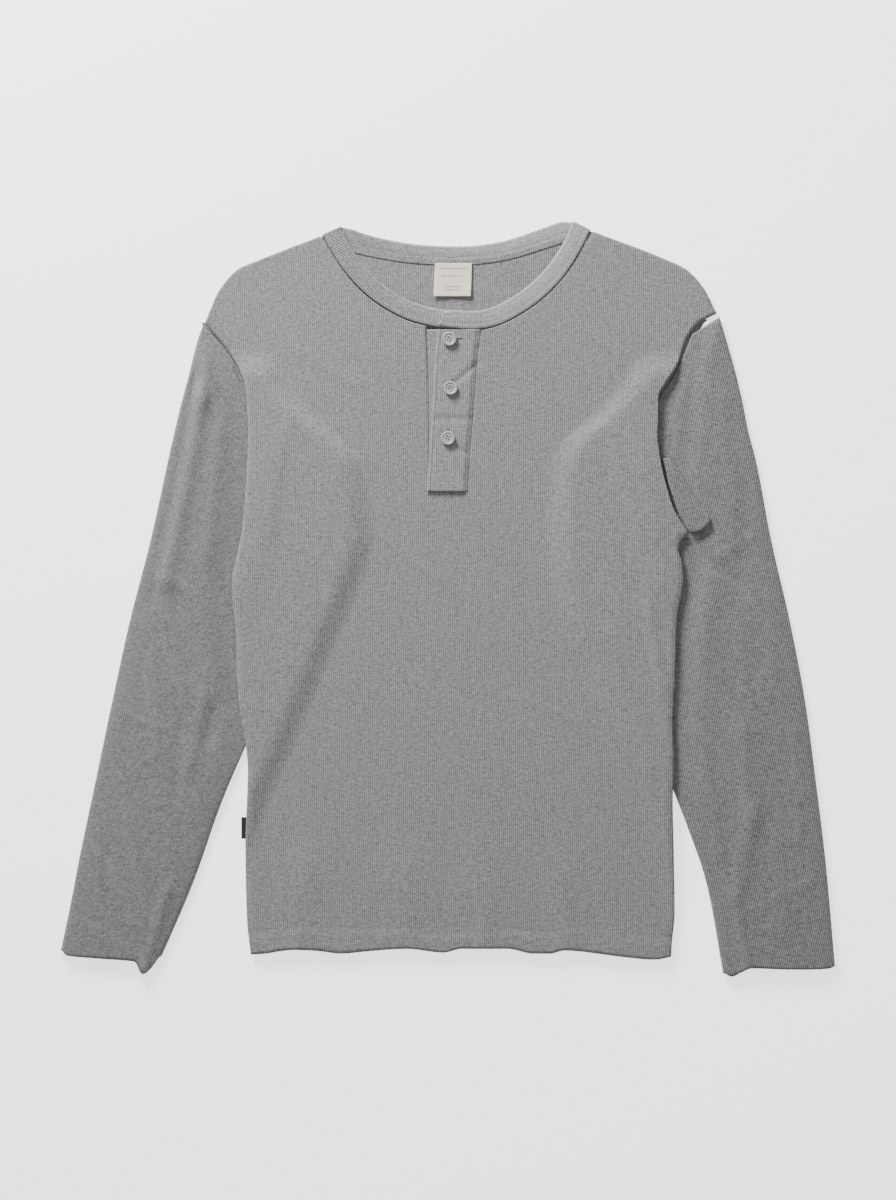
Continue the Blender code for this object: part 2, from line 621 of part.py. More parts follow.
def build():
    """Empty the scene and build the shirt."""
    for item in list(bpy.data.objects):
        bpy.data.objects.remove(item)
    group = bpy.data.collections.new("henley_shirt")
    cutters = bpy.data.collections.new("cutters")
    bpy.context.scene.collection.children.link(group)
    bpy.context.scene.collection.children.link(cutters)
    knit = finish("grey_marl_knit", "#949293", 0.95)
    rib = finish("grey_marl_rib", "#9c9a9b", 0.95)
    horn = finish("grey_button", "#a09d9c", 0.45)
    woven = finish("cream_label", "#e0d9c6", 0.8)
    dark = finish("dark_tab", "#1c1d24", 0.8)
    build_body(knit, group, cutters)
    build_sleeves(knit, group, cutters)
    cloth("neckband", BAND_FACES, neckband_sheet, BAND_WALL, rib, group)
    seat = build_placket(knit, group)
    build_buttons(horn, group, cutters, seat)
    build_labels(woven, dark, group)
    centre = bpy.data.objects.new("plan_centre", None)
    group.objects.link(centre)
    centre.location = (-PLAN_CENTRE[0] * MM, -PLAN_CENTRE[1] * MM, 0)
    for piece in list(group.objects) + list(cutters.objects):
        if piece != centre:
            piece.parent = centre


build()
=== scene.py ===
"""Grey marl rib-knit henley shirt, laid flat with the front up and seen from straight above.

Tables and sheet formulas are in millimetres, and each finished mesh is in metres about the middle of the
laid shirt's box. Every sheet is a grid of points, a function of two shares u (across) and v (along).
"""
import math

import bmesh
import bpy
import numpy as np
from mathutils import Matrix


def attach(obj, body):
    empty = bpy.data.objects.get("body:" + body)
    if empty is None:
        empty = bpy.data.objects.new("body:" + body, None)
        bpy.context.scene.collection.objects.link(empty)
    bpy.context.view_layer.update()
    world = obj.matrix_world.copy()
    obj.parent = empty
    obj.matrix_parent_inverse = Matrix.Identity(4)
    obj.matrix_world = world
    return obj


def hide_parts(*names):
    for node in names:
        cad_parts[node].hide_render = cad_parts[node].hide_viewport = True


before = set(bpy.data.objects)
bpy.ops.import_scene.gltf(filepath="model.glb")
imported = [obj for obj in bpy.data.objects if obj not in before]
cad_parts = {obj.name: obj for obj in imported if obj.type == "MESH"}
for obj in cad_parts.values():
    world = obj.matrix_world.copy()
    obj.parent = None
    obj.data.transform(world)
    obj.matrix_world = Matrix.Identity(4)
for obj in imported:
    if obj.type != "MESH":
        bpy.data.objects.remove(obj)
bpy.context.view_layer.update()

# --------------------------------------------------------------------------------------------------------
# Floor, light and camera: a white table under a broad soft light, looked at from straight above.
MM = 0.001
CAMERA_HEIGHT = 3.0
VIEW_HEIGHT = 1.104      # metres of table that the long side of the picture takes in
SENSOR = 36.0


def add_light(name, place, size, power, aim=(0, 0, 0)):
    """A square area light at `place`, turned so that its -Z axis points at `aim`."""
    data = bpy.data.lights.new(name, "AREA")
    data.size = size
    data.energy = power
    light = bpy.data.objects.new(name, data)
    bpy.context.scene.collection.objects.link(light)
    light.location = place
    offset = np.array(aim, float) - np.array(place, float)
    flat = math.hypot(offset[0], offset[1])
    light.rotation_euler = (math.atan2(flat, -offset[2]), 0, math.atan2(offset[0], -offset[1]) + math.pi)
    return light


camera_data = bpy.data.cameras.new("Camera")
camera_data.sensor_width = SENSOR
camera_data.lens = SENSOR * CAMERA_HEIGHT / VIEW_HEIGHT
camera = bpy.data.objects.new("Camera", camera_data)
bpy.context.scene.collection.objects.link(camera)
camera.location = (0, -0.0018, CAMERA_HEIGHT)
bpy.context.scene.camera = camera
add_light("key", (-0.9, 1.9, 0.8), 0.6, 130)
add_light("fill", (1.4, -0.8, 2.2), 2.0, 6)
world = bpy.data.worlds.new("Studio")
world.use_nodes = True
world.node_tree.nodes["Background"].inputs["Color"].default_value = (1, 1, 1, 1)
world.node_tree.nodes["Background"].inputs["Strength"].default_value = 0.5
bpy.context.scene.world = world


def linear(hex_colour):
    """sRGB hex to a linear RGBA tuple."""
    channels = [int(hex_colour[i:i + 2], 16) / 255 for i in (1, 3, 5)]
    return tuple(((c + 0.055) / 1.055) ** 2.4 if c > 0.04045 else c / 12.92 for c in channels) + (1,)


def node(tree, kind, links=(), **settings):
    """One shader node: settings are its attributes or, by name, its inputs; links are (input, socket)."""
    item = tree.nodes.new(kind)
    for name, value in settings.items():
        if name in item.bl_rna.properties:
            setattr(item, name, value)
        else:
            item.inputs[name.replace("_", " ")].default_value = value
    for name, socket in links:
        tree.links.new(socket, item.inputs[name])
    return item


def new_material(name, hex_colour, roughness):
    """A Principled material of one colour, and its tree and shader."""
    material = bpy.data.materials.new(name)
    material.use_nodes = True
    shader = material.node_tree.nodes["Principled BSDF"]
    shader.inputs["Base Color"].default_value = linear(hex_colour)
    shader.inputs["Roughness"].default_value = roughness
    return material, material.node_tree, shader


floor_material, _, floor_shader = new_material("white_painted_board", "#fdfdfd", 0.9)
floor_shader.inputs["Emission Color"].default_value = (1, 1, 1, 1)
floor_shader.inputs["Emission Strength"].default_value = 1.6
floor_mesh = bpy.data.meshes.new("floor")
floor_mesh.from_pydata([(-6, -6, 0), (6, -6, 0), (6, 6, 0), (-6, 6, 0)], [], [(0, 1, 2, 3)])
floor = bpy.data.objects.new("floor", floor_mesh)
floor_mesh.materials.append(floor_material)
bpy.context.scene.collection.objects.link(floor)
floor.location.z = -0.0005

# --------------------------------------------------------------------------------------------------------
# Back panel: one piece of cotton rib knit that lies on the table and rises over the sleeves' inner edges.
# Its inside shows in the neck opening. The outline tables, shared by the other sheets, come first.
PLAN_CENTRE = (0.15, 1.75)  # table coordinates of the middle of the shirt's box
CLOTH = 1.3              # wall of one layer of rib knit
SEAM_GAP = 0.3           # clearance between pieces that are sewn or lie together
AIR = 1.9                # loft left between the front and the back
SLEEVE_AIR = 1.2         # inside a sleeve where the body lies on it
SLEEVE_LOFT = 2.6        # what a sleeve's upper layer rises by where it lies free
BACK_LEVEL = CLOTH / 2
FRONT_STEP = CLOTH + AIR
SLEEVE_TOP = BACK_LEVEL + CLOTH + SLEEVE_AIR
OVER_SLEEVE = SLEEVE_TOP + CLOTH / 2 + 3 * SEAM_GAP
RAMP = 28.0              # length over which the body comes down beside a tucked sleeve
RAMP_START = 19.0        # from the sleeve's edge to the start of that slope
ARMHOLE_Y = 230.0        # where the armhole seams go under the body's folded sides
# Visible side edges of the body, from hem to armhole: y, x
EDGE_RIGHT_ARM = [
    (-326, -181), (-295, -184.5), (-230, -186), (-155, -183.5), (-132, -185.5), (-99, -191), (-67, -193.5),
    (-21, -195), (7, -198), (21, -197.5), (40, -193.5), (62, -189), (100, -185.5), (134, -183.5), (153, -183),
    (190, -185), (215, -193), (234, -206.5), (247, -217.5), (255, -223),
]
EDGE_LEFT_ARM = [
    (-328, 205), (-313, 206), (-286, 208.5), (-230, 207.5), (-184, 206.5), (-147, 207.5), (-110, 206.5),
    (-62, 209), (-16, 210.5), (5, 214.5), (20, 217), (34, 216.5), (46, 213), (55, 215), (62, 221),
    (68, 217.5), (81, 210), (105, 202), (128, 196.5), (154, 193.5), (187, 193.5), (196, 198), (215, 210),
    (243, 221), (255, 231.5), (263, 247),
]
# How far in from those edges the back ends, from hem to armhole: y, inset
BACK_INSET = [(-328, 4), (20, 4), (50, 11), (130, 10), (150, 5), (263, 4)]
HEM_RISE = 2.0           # how far the back's hem lies above the front's
# Wavy hem: x, y
HEM = [
    (-181, -326), (-168, -325), (-142, -321.5), (-120, -322.5), (-98, -325), (-75, -323), (-38, -320.5),
    (-4, -324), (13, -320.5), (54, -320.5), (79, -325), (94, -325), (107, -322), (130, -324), (160, -328),
    (190, -330.5), (205, -328),
]
# Shoulders, from the armhole to the neck: x, y
SHOULDER_RIGHT_ARM = [(-223, 255), (-218.5, 266), (-210, 284.5), (-194, 303), (-173, 312.5), (-116.5, 334.5)]
SHOULDER_LEFT_ARM = [(247, 263), (245, 267), (236, 285), (220, 303), (201, 312.5), (132, 339)]
# Seams of the neckband: x, y
NECK_FRONT = [
    (-116.5, 334.5), (-94.5, 300.5), (-74, 279), (-54.5, 265.5), (-34.5, 256), (-8, 250), (21.5, 248),
    (43, 251), (63, 260), (86, 275.5), (104.5, 294), (118, 313), (132, 339),
]
NECK_BACK = [
    (-116.5, 334.5), (-90, 322.5), (-62, 316), (-25, 311), (8, 310), (48, 313.5), (94, 326.5), (132, 339),
]
# Sleeves, from armhole to cuff: y of the outer edge, its x, then x and y of the inner edge
SLEEVE_RIGHT_ARM = [
    (252, -225, -208.5, 234.5), (238, -230, -198.5, 219), (208, -237.5, -190, 197), (180, -245, -172, 176),
    (155, -251, -142, 150), (128, -257, -120, 125), (55, -273, -112, 62), (-19, -292, -131, 0),
    (-92, -308, -156, -60),
    (-166, -323.5, -185, -131), (-240, -339, -212, -196), (-277, -346, -233, -256), (-321, -355, -262, -323),
]
SLEEVE_LEFT_ARM = [
    (260, 249.5, 224.5, 244), (240, 255.5, 216, 223), (206, 265, 200, 194), (180, 271, 180, 172),
    (155, 276, 152, 148), (128, 283, 140, 125), (55, 297, 135, 60), (-19, 314, 144, -12),
    (-92, 328, 165, -66),
    (-166, 338, 196, -146), (-240, 347, 220, -207), (-277, 350.5, 237, -256), (-336, 355.5, 251, -330),
]
SIDE_FADE = 5            # power by which a side's shape dies out across a panel
NECK_SHARES = (5 / 24, 19 / 24)  # shares across a panel at which its neck seam starts and ends
ROW_SPREAD = [(0, 0), (0.4, 0.55), (1, 1)]
LOWEST_ROW_Y = -326.0    # where the panels' side edges start


def read(table, at):
    """The other columns of a table where its first column reads `at`.

    A cubic between rows, with slopes held to the smaller of the two sides, so that it never overshoots a row.
    """
    rows = np.array(table, float)
    if rows[0, 0] > rows[-1, 0]:
        rows = rows[::-1]
    key = rows[:, 0]
    value = rows[:, 1:]
    secant = np.diff(value, axis=0) / np.diff(key)[:, None]
    before = np.vstack([secant[:1], secant])
    after = np.vstack([secant, secant[-1:]])
    steepest = 2 * np.minimum(np.abs(before), np.abs(after))
    slope = np.clip((before + after) / 2, -steepest, steepest) * (before * after > 0)
    at = np.clip(at, key[0], key[-1])
    row = np.clip(np.searchsorted(key, at, side="right") - 1, 0, len(key) - 2)
    step = (key[row + 1] - key[row])[..., None]
    t = (at - key[row])[..., None] / step
    start = value[row] * (1 + 2 * t) * (1 - t) ** 2 + slope[row] * step * t * (1 - t) ** 2
    end = value[row + 1] * (3 - 2 * t) * t ** 2 - slope[row + 1] * step * t ** 2 * (1 - t)
    return start + end


def along(points, t):
    """Points at shares t of the length of a smooth curve through the given points."""
    rows = np.array(points, float)
    chord = np.concatenate([[0], np.cumsum(np.linalg.norm(np.diff(rows, axis=0), axis=1))])
    return read(np.column_stack([chord / chord[-1], rows]), t)


def ease(t):
    """0 below t = 0, 1 above t = 1, with a smooth step between."""
    t = np.clip(t, 0, 1)
    return t * t * (3 - 2 * t)


def folds(table, x, y):
    """Height of a set of long soft folds: a bell across each line, dying out past its ends."""
    height = np.zeros_like(x)
    for x1, y1, x2, y2, half_width, rise in table:
        length = math.hypot(x2 - x1, y2 - y1)
        run = ((x - x1) * (x2 - x1) + (y - y1) * (y2 - y1)) / length
        off = ((x - x1) * (y2 - y1) - (y - y1) * (x2 - x1)) / length
        past = np.maximum(np.maximum(-run, run - length), 0) / 2
        height = height + rise * np.exp(-(off ** 2 + past ** 2) / half_width ** 2)
    return height


def tucked_edge(sleeve, y):
    """x of a sleeve's inner edge at y."""
    inner = [(row[3], row[2]) for row in sleeve]
    return read(inner, y)[..., 0]


def sleeve_lift(x, y):
    """How far the sleeves underneath raise the body's back layer."""
    below_armhole = ease((ARMHOLE_Y - y) / RAMP)
    right_arm = ease(1 - (x - RAMP_START - tucked_edge(SLEEVE_RIGHT_ARM, y)) / RAMP) * (x < 0)
    left_arm = ease(1 - (tucked_edge(SLEEVE_LEFT_ARM, y) - RAMP_START - x) / RAMP) * (x > 0)
    return OVER_SLEEVE * below_armhole * (right_arm + left_arm)


def back_height(x, y):
    """Middle of the back's wall above the table."""
    return BACK_LEVEL + sleeve_lift(x, y)


def patch(u, v, bottom, top, left, right):
    """A sheet stretched between four edge curves, each a function of its own share.

    Ruled from bottom to top; each side's departure from its own chord then dies out towards the middle.
    """
    low, high, start, end = bottom(u), top(u), left(v), right(v)
    u = u[:, None]
    v = v[:, None]
    zero = np.zeros(1)
    one = np.ones(1)
    start_chord = (1 - v) * left(zero) + v * left(one)
    end_chord = (1 - v) * right(zero) + v * right(one)
    ruled = (1 - v) * low + v * high
    return ruled + (1 - u) ** SIDE_FADE * (start - start_chord) + u ** SIDE_FADE * (end - end_chord)


def body_outline(neck, right_arm_inset, left_arm_inset):
    """The four edge curves of a body panel: hem, shoulders with the neck seam, and both sides."""
    def side(table, sign, inset, v):
        """A side edge, moved in by its inset."""
        top_y = table[-1][0]
        y = LOWEST_ROW_Y + (top_y - LOWEST_ROW_Y) * v
        x = read(table, y)[:, 0] + sign * read(inset, y)[:, 0]
        return np.column_stack([x, y])

    def left(v):
        """The edge on the wearer's right."""
        return side(EDGE_RIGHT_ARM, 1, right_arm_inset, v)

    def right(v):
        """The edge on the wearer's left."""
        return side(EDGE_LEFT_ARM, -1, left_arm_inset, v)

    def bottom(u):
        """The wavy hem between both side edges."""
        start = left(np.zeros(1))[0, 0]
        end = right(np.zeros(1))[0, 0]
        x = start + (end - start) * u
        hem_y = read(HEM, x)[:, 0]
        return np.column_stack([x, hem_y])

    def top(u):
        """A shoulder, the neck seam and the other shoulder, which end where the side edges do."""
        first = along(SHOULDER_RIGHT_ARM, u / NECK_SHARES[0])
        middle = along(neck, (u - NECK_SHARES[0]) / (NECK_SHARES[1] - NECK_SHARES[0]))
        last = along(SHOULDER_LEFT_ARM[::-1], (u - NECK_SHARES[1]) / (1 - NECK_SHARES[1]))
        x_ends = np.array([left(np.ones(1))[0, 0], right(np.ones(1))[0, 0]])
        pulled = np.array([x_ends[0] - SHOULDER_RIGHT_ARM[0][0], x_ends[1] - SHOULDER_LEFT_ARM[0][0]])
        first[:, 0] += pulled[0] * (1 - u / NECK_SHARES[0])
        last[:, 0] += pulled[1] * (u - NECK_SHARES[1]) / (1 - NECK_SHARES[1])
        point = np.where((u < NECK_SHARES[0])[:, None], first, middle)
        return np.where((u > NECK_SHARES[1])[:, None], last, point)

    return bottom, top, left, right


def spread_rows(v):
    """Row heights of a body panel for evenly counted rows."""
    return np.interp(v, [row[0] for row in ROW_SPREAD], [row[1] for row in ROW_SPREAD])


def back_sheet(u, v):
    """The back: a little inside the front's outline, up to the back neck seam."""
    rows = spread_rows(v)
    xy = patch(u, rows, *body_outline(NECK_BACK, BACK_INSET, BACK_INSET))
    xy[:, 1] += HEM_RISE * (1 - rows)
    at_neck = (v > 1 - 1e-6) & (u > NECK_SHARES[0]) & (u < NECK_SHARES[1])
    xy[at_neck, 1] -= SEAM_GAP
    return np.column_stack([xy, back_height(xy[:, 0], xy[:, 1])])


def grid_mesh(name, faces, sheet, closed=False, keep=None):
    """A mesh of faces[0] by faces[1] quads at sheet(u, v), moved to the box's middle and put in metres.

    closed joins the last column to the first; keep(x, y) is true where a face stays.
    """
    columns, rows = faces
    u, v = np.meshgrid(np.linspace(0, 1, columns + 1), np.linspace(0, 1, rows + 1))
    u = u[:, :-1] if closed else u
    v = v[:, :-1] if closed else v
    point = sheet(u.ravel(), v.ravel()) - np.array([*PLAN_CENTRE, 0])
    width = u.shape[1]
    start = np.arange(rows)[:, None] * width
    across = np.arange(columns)[None, :]
    after = (across + 1) % width
    quad = np.stack([start + across, start + after, start + width + after, start + width + across], axis=-1)
    quad = quad.reshape(-1, 4)
    if keep is not None:
        middle = point[quad].mean(axis=1)
        quad = quad[keep(middle[:, 0] + PLAN_CENTRE[0], middle[:, 1] + PLAN_CENTRE[1])]
    mesh = bpy.data.meshes.new(name)
    mesh.from_pydata(point * MM, [], quad.tolist())
    used = bmesh.new()
    used.from_mesh(mesh)
    bmesh.ops.delete(used, geom=[vertex for vertex in used.verts if not vertex.link_faces], context="VERTS")
    used.to_mesh(mesh)
    used.free()
    return mesh


def add_piece(name, mesh, material, node_name, wall=0.0):
    """One finished piece at the origin: its wall by Solidify, its body, its node, if any."""
    piece = bpy.data.objects.new(name, mesh)
    bpy.context.scene.collection.objects.link(piece)
    mesh.materials.append(material)
    mesh.shade_smooth()
    if wall:
        solid = piece.modifiers.new("Wall", "SOLIDIFY")
        solid.thickness = wall * MM
        solid.offset = 0
    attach(piece, "root")
    if node_name:
        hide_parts(node_name)
    return piece


WALE_DRIFT = 0.004       # metres by which the wales wander sideways
WALE_SHADE = 0.13        # painted shade: how much darker the grooves between wales are, as a share of the marl's range
YARN_STREAKS = (190, 900, 900)  # per metre across, along and through the knit


def knit_material(name, dark, light, wale, turn=0.0, relief=0.35):
    """Cotton rib knit in grey marl: raised wales, `wale` millimetres apart, along Y after a turn about Z.

    Noise drawn out across the wales breaks them into courses and mixes the darker and lighter yarn.
    """
    material, tree, shader = new_material(name, light, 0.95)
    place = node(tree, "ShaderNodeTexCoord")
    turned = node(tree, "ShaderNodeMapping", [("Vector", place.outputs["Object"])], Rotation=(0, 0, turn))
    drift = node(tree, "ShaderNodeTexNoise", [("Vector", turned.outputs[0])], Scale=28, Detail=2)
    split = node(tree, "ShaderNodeSeparateXYZ", [("Vector", turned.outputs[0])])
    bent = node(tree, "ShaderNodeMath", [(0, drift.outputs["Fac"])], operation="MULTIPLY")
    bent.inputs[1].default_value = WALE_DRIFT
    across = node(tree, "ShaderNodeMath", [(0, split.outputs["X"]), (1, bent.outputs[0])], operation="ADD")
    phase = node(tree, "ShaderNodeMath", [(0, across.outputs[0])], operation="MULTIPLY")
    phase.inputs[1].default_value = 2 * math.pi / (wale * MM)
    rib = node(tree, "ShaderNodeMath", [(0, phase.outputs[0])], operation="SINE")
    streak_place = node(tree, "ShaderNodeMapping", [("Vector", turned.outputs[0])], Scale=YARN_STREAKS)
    streak = node(tree, "ShaderNodeTexNoise", [("Vector", streak_place.outputs[0])],
                  Scale=1, Detail=3, Roughness=0.65)
    patchy = node(tree, "ShaderNodeTexNoise", [("Vector", turned.outputs[0])],
                  Scale=420, Detail=3, Roughness=0.7)
    marl = node(tree, "ShaderNodeMath", [(0, streak.outputs["Fac"]), (1, patchy.outputs["Fac"])],
                operation="ADD")
    # Painted shade in the grooves between the wales.
    shade = node(tree, "ShaderNodeMath", [(0, rib.outputs[0])], operation="MULTIPLY")
    shade.inputs[1].default_value = WALE_SHADE
    total = node(tree, "ShaderNodeMath", [(0, marl.outputs[0]), (1, shade.outputs[0])], operation="ADD")
    ramp = node(tree, "ShaderNodeMapRange", [("Value", total.outputs[0])], From_Min=0.66, From_Max=1.3)
    colour = node(tree, "ShaderNodeMix", [("Factor", ramp.outputs[0])], data_type="RGBA")
    colour.inputs["A"].default_value = linear(dark)
    colour.inputs["B"].default_value = linear(light)
    tree.links.new(colour.outputs["Result"], shader.inputs["Base Color"])
    raised = node(tree, "ShaderNodeMath", [(0, rib.outputs[0]), (1, streak.outputs["Fac"])], operation="ADD")
    bump = node(tree, "ShaderNodeBump", [("Height", raised.outputs[0])], Strength=relief, Distance=0.0005)
    tree.links.new(bump.outputs[0], shader.inputs["Normal"])
    shader.inputs["Sheen Weight"].default_value = 0.15
    shader.inputs["Specular IOR Level"].default_value = 0.2
    return material


SHELL = 1.1              # wall of the finished sheets
WALE = 1.9               # wale to wale in the body knit
body_knit = knit_material("grey_marl_rib_knit", "#5f5c5d", "#9b999a", WALE)
back = add_piece("back_panel", grid_mesh("back_panel", (110, 160), back_sheet), body_knit,
                 "back", SHELL)

# --------------------------------------------------------------------------------------------------------
# Front panel: the same rib knit, cut down from the neck for the placket. Its hem is turned up and
# coverstitched in two rows.
FRONT_INSET_LEFT_ARM = [(-328, 0), (0, 0.4), (40, 1.5), (130, 1.5), (200, 0)]
FRONT_INSET_RIGHT_ARM = [(-328, 0), (263, 0)]
# Placket, from its stitched end up to the neckband: y, free edge x, sewn edge x
PLACKET = [(99.8, -19, 18), (134, -17, 19.8), (177, -14.3, 23.5), (217, -12, 26.3), (248, -9.5, 30)]
# Under strip: y, x of its sewn edge
PLACKET_UNDER_EDGE = [(104.5, -18.2), (134, -18.4), (177, -18.8), (217, -19.3), (249, -20)]
# Soft folds and creases of the front: x and y of both ends, half width, height (a valley is negative)
FOLDS_FRONT = [
    (-142, -330, -134, -255, 16, 1.4), (-38, -330, -42, -262, 18, 1.2), (34, -330, 30, -270, 18, 1.2),
    (107, -330, 104, -258, 12, 1.2), (178, 120, 196, 20, 14, 1.2), (-168, 120, -182, 20, 14, 1.2),
    (-120, 40, -70, -10, 5, 0.35), (-60, 60, -10, 20, 4, 0.3), (30, 60, 75, 0, 5, -0.35),
    (90, 30, 130, -40, 5, 0.35),
    (-150, -60, -95, -80, 4, 0.3), (-30, -60, 20, -95, 5, -0.3), (60, -90, 120, -110, 4, 0.3),
    (-100, 160, -60, 120, 5, 0.35), (60, 190, 110, 120, 6, 0.45), (150, 150, 176, 60, 5, 0.6),
    (-150, 150, -165, 60, 6, 0.6), (150, -40, 185, -150, 7, 0.7), (-140, 230, -90, 200, 5, 0.4),
    (140, 240, 185, 190, 6, 0.5), (-160, -200, -150, -290, 5, 0.5), (185, -10, 196, -80, 5, 0.8),
    (-4, 152, 14, 136, 2.5, -0.7), (3, 196, 26, 216, 3, -0.8), (-10, 166, 20, 166, 3, -0.5),
]
HEM_DEPTH = 18.0         # from the hem's edge to its upper stitch row
HEM_ROWS = (HEM_DEPTH, HEM_DEPTH - 4)
EDGE_DROP = 1.2          # how far a side edge of the front rolls down
EDGE_SOFTNESS = 60       # share of the width over which it rolls is one over this
FLAP_END_Y = 60          # the side by the underarm flap stays up above this
HEM_TURN = 0.45          # what the turned layer adds to the height


def front_height(x, y):
    """Middle of the front's wall above the table: one step over the back, with its own soft folds."""
    return back_height(x, y) + FRONT_STEP + folds(FOLDS_FRONT, x, y)


def hem_relief(x, y):
    """The turned hem: thicker below its upper stitch row, with a thin sunk line along each row."""
    above = y - read(HEM, x)[:, 0]
    turned = HEM_TURN * ease((HEM_DEPTH + 1 - above) / 2)
    lines = sum(np.exp(-((above - depth) / 0.8) ** 2) for depth in HEM_ROWS)
    return turned - 0.5 * lines


def front_sheet(u, v):
    """The front: butted to the neckband and the armhole seams."""
    rows = spread_rows(v)
    edges = body_outline(NECK_FRONT, FRONT_INSET_RIGHT_ARM, FRONT_INSET_LEFT_ARM)
    xy = patch(u, rows, *edges)
    at_neck = (v > 1 - 1e-6) & (u > NECK_SHARES[0]) & (u < NECK_SHARES[1])
    xy[at_neck, 1] -= SEAM_GAP
    x, y = xy.T
    left_arm_side = (1 - ease((1 - u) * EDGE_SOFTNESS)) * (y < FLAP_END_Y)
    rounded = -EDGE_DROP * (1 - ease(u * EDGE_SOFTNESS)) - EDGE_DROP * left_arm_side
    return np.column_stack([xy, front_height(x, y) + hem_relief(x, y) + rounded])


def beside_slot(x, y):
    """True outside the placket's slot."""
    inside = (y > 106) & (x > read(PLACKET_UNDER_EDGE, y)[:, 0] + 1) & (x < read(PLACKET, y)[:, 1] - 1)
    return ~inside


front = add_piece("front_panel", grid_mesh("front_panel", (175, 270), front_sheet, keep=beside_slot),
                  body_knit, "front", SHELL)

# --------------------------------------------------------------------------------------------------------
# Sleeves: one panel each, sewn to a tube and tucked under the body's sides. The left one's underarm is
# folded up. Wales run down each sleeve, so each has its own turn of the pattern.
# Cuff edges: share of the width from the outer edge, how far the edge runs past a straight line
CUFF_RIGHT_ARM = [(0, 0), (0.08, 6), (0.4, 8), (0.75, 10), (0.88, 22), (0.94, 16), (1, 0)]
CUFF_LEFT_ARM = [(0, 0), (0.05, 3), (0.4, 6), (0.75, 7), (0.85, 12), (0.94, 16), (1, 12)]
CUFF_REACH = 70.0        # length of sleeve over which that shape dies out
# Folds, as on the front
FOLDS_RIGHT_ARM = [
    (-217, 246, -226, 184, 6, 1.6), (-226, 184, -259, 20, 8, 2.6), (-236, 196, -271, 10, 8, -1.8),
    (-196, -40, -211, -85, 7, 1.6), (-211, -84, -217, -120, 7, -1.8), (-258, -268, -278, -336, 5, 1.5),
    (-240, 150, -262, 60, 5, -0.6), (-300, -40, -306, -120, 7, 0.7), (-270, -60, -268, -140, 6, 0.9),
    (-246, -120, -250, -180, 5, -0.8), (-225, -90, -236, -150, 5, 1.0), (-330, -180, -320, -250, 6, 0.6),
    (-290, -200, -280, -290, 7, 0.7), (-250, 0, -232, -60, 6, -0.8), (-210, 150, -222, 40, 6, 0.9),
    (-285, 30, -240, 10, 5, 0.5), (-305, -100, -262, -118, 4, 0.5), (-315, -290, -280, -300, 4, 0.4),
]
FOLDS_LEFT_ARM = [
    (228, 236, 219, 130, 9, -1.8), (270, -126, 279, -198, 8, 1.8), (279, -198, 267, -262, 8, 1.6),
    (209, -104, 226, -124, 7, 1.4), (265, -276, 276, -342, 5, 1.5),
    (250, 180, 262, 60, 7, 0.8), (276, 120, 270, 10, 6, -0.7), (300, 20, 296, -80, 7, 0.7),
    (240, 20, 232, -50, 6, 0.9), (250, -20, 262, -90, 5, -0.8), (226, -40, 238, -96, 5, 0.8),
    (320, -120, 326, -200, 7, 0.7), (300, -220, 310, -300, 6, 0.6), (236, -150, 250, -230, 6, 0.8),
    (222, 50, 262, 20, 6, -0.9), (285, 60, 250, 40, 5, 0.5), (330, -260, 290, -280, 4, 0.4),
]
# Underarm of the left sleeve, folded up over the sleeve: y, x of its seam, x of its outer edge
UNDERARM_FLAP = [
    (130, 197.5, 203), (120, 200, 210.5), (105, 203, 219.5), (93, 207.5, 227), (81, 211.5, 235.5),
    (73, 216, 240.5), (67, 219, 236), (62.5, 222.5, 229),
]
FLAP_RISE = 0.8          # what the flap's upper layer stands above the front
FLAP_JOIN = 0.25         # height over the sleeve's upper layer at which the flap's lower end joins it


def turned_strip(seam, edge, end, upper, lower, u):
    """A strip folded under along its outer edge: u = 0 at the seam on top, 1 at its end underneath."""
    middle = (upper + lower) / 2
    half = (upper - lower) / 2
    turn = np.clip((u - 0.3) / 0.4, 0, 1) * math.pi
    inward = np.where(u < 0.5, seam, end)
    share = np.where(u < 0.5, 1 - u / 0.3, (u - 0.7) / 0.3)
    share = np.clip(share, 0, 1)
    x = (edge - half) + (inward - (edge - half)) * share + half * np.sin(turn)
    z = middle + half * np.cos(turn)
    return x, z


def flap_sheet(u, v):
    """Underarm of the left sleeve folded up: its lower end goes down into the sleeve's upper layer."""
    y = UNDERARM_FLAP[0][0] + (UNDERARM_FLAP[-1][0] - UNDERARM_FLAP[0][0]) * v
    seam, edge = read(UNDERARM_FLAP, y).T
    upper = front_height(seam, y) + FLAP_RISE * ease((edge - seam) / 14)
    lower = back_height(seam, y)
    x, z = turned_strip(seam, edge, seam - 3, upper, lower, u)
    sink = ease((u - 0.7) / 0.3)
    z = z + (SLEEVE_TOP + FLAP_JOIN - z) * sink
    return np.column_stack([x, y, z])


